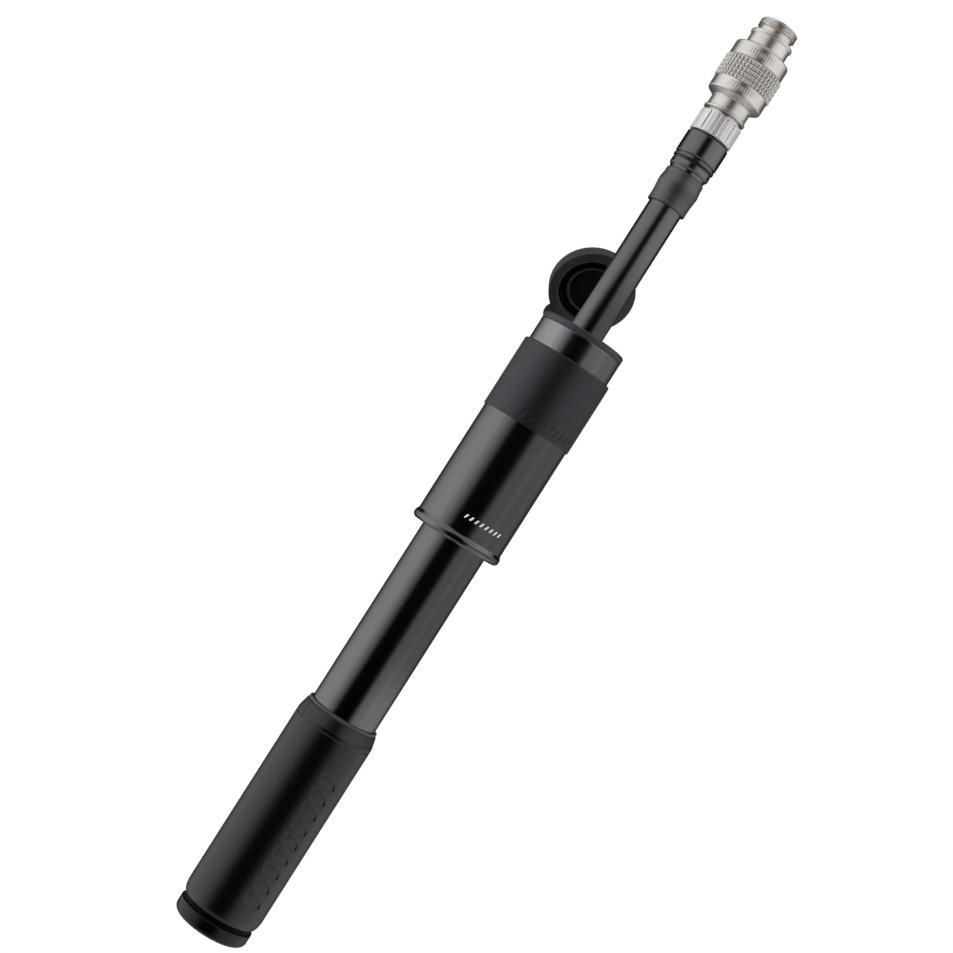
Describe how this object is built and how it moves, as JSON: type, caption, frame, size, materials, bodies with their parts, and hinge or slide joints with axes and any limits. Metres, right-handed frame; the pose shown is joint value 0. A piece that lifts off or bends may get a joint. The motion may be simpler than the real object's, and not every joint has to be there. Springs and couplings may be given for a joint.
{
  "type": "mini bicycle pump",
  "caption": "Telescopic hand pump with a pull-out hose stored in its barrel, a rubber-gripped sliding handle, a hinged dust lid and a screw-on reversible valve chuck.",
  "frame": {"origin": "on the pump's axis, at the middle of the smooth barrel between the bead and the rubber band, where the frame bracket clips on", "axes": "+Z along the pump's axis from the handle towards the chuck; the dust lid hangs towards +Y and -X, and -Y faces the viewer"},
  "size_m": [0.0317, 0.0398, 0.2981],
  "materials": {
    "black_anodised": "gloss black anodised",
    "band_rubber": "soft satin rubber",
    "lid_rubber": "soft matt rubber",
    "grip_rubber": "matt moulded rubber",
    "boot_rubber": "satin rubber",
    "hose_rubber": "smooth glossy rubber",
    "seal_rubber": "oiled nitrile rubber",
    "black_plastic": "moulded acetal",
    "grey_plastic": "fine textured plastic",
    "black_metal": "gloss black anodised, turned",
    "steel": "drawn stainless steel",
    "brass": "turned brass",
    "bright_alloy": "bright natural aluminium",
    "satin_chuck": "warm grey satin anodised, turned and knurled"
  },
  "bodies": {
    "barrel": {"outer_barrel": "black_anodised", "cylinder_liner": "black_anodised", "grip_band": "band_rubber", "head_plug": "black_plastic", "head_seal": "seal_rubber", "hose_stop_ring": "black_metal", "cap_ring": "lid_rubber", "storage_tube": "steel", "gland_bush": "black_plastic", "wiper_seal": "seal_rubber", "lid_strap": "lid_rubber"},
    "lid": {"dust_lid": "lid_rubber"},
    "handle": {"piston_tube": "black_anodised", "piston_head": "black_plastic", "piston_seal": "seal_rubber", "inner_seal": "seal_rubber", "handle_sleeve": "grey_plastic", "handle_grip": "grip_rubber", "end_plug": "black_plastic", "end_seal": "seal_rubber", "end_cap": "grip_rubber"},
    "hose": {"base_plug": "brass", "base_seals": "seal_rubber", "check_valve": "seal_rubber", "hose_tube": "hose_rubber", "hose_boot": "boot_rubber", "hose_ferrule": "black_metal", "swivel_seal": "seal_rubber", "swivel_clip": "steel"},
    "swivel": {"swivel_collar": "black_metal", "swivel_nipple": "steel", "nipple_seal": "seal_rubber", "ring_nut": "bright_alloy"},
    "chuck_rider": {"schrader_gasket": "seal_rubber"},
    "chuck": {"chuck_body": "satin_chuck", "presta_gasket": "seal_rubber", "depressor_pin": "brass"}
  },
  "joints": [
    {"name": "handle_slide", "type": "slide", "parent": "barrel", "child": "handle", "axis": [0, 0, 1], "range_m": [0, 0.0568]},
    {"name": "hose_slide", "type": "slide", "parent": "barrel", "child": "hose", "axis": [0, 0, 1], "range_m": [-0.099, 0]},
    {"name": "lid_hinge", "type": "hinge", "parent": "barrel", "child": "lid", "pos_m": [-0.00503, 0.01645, 0.045], "axis": [-0.9563, -0.2924, 0], "range_deg": [0, 105], "deforming": ["lid_strap"]},
    {"name": "chuck_swivel", "type": "hinge", "parent": "hose", "child": "swivel", "pos_m": [0, 0, 0.108], "axis": [0, 0, 1], "continuous": true},
    {"name": "chuck_lift", "type": "slide", "parent": "swivel", "child": "chuck_rider", "axis": [0, 0, 1], "range_m": [0, 0.0024]},
    {"name": "chuck_unscrew", "type": "hinge", "parent": "chuck_rider", "child": "chuck", "pos_m": [0, 0, 0.12], "axis": [0, 0, 1], "range_deg": [0, 1080.5]}
  ],
  "couplings": [
    {"joint": "chuck_unscrew", "follows": "chuck_lift", "rad_per_m": 7854}
  ]
}
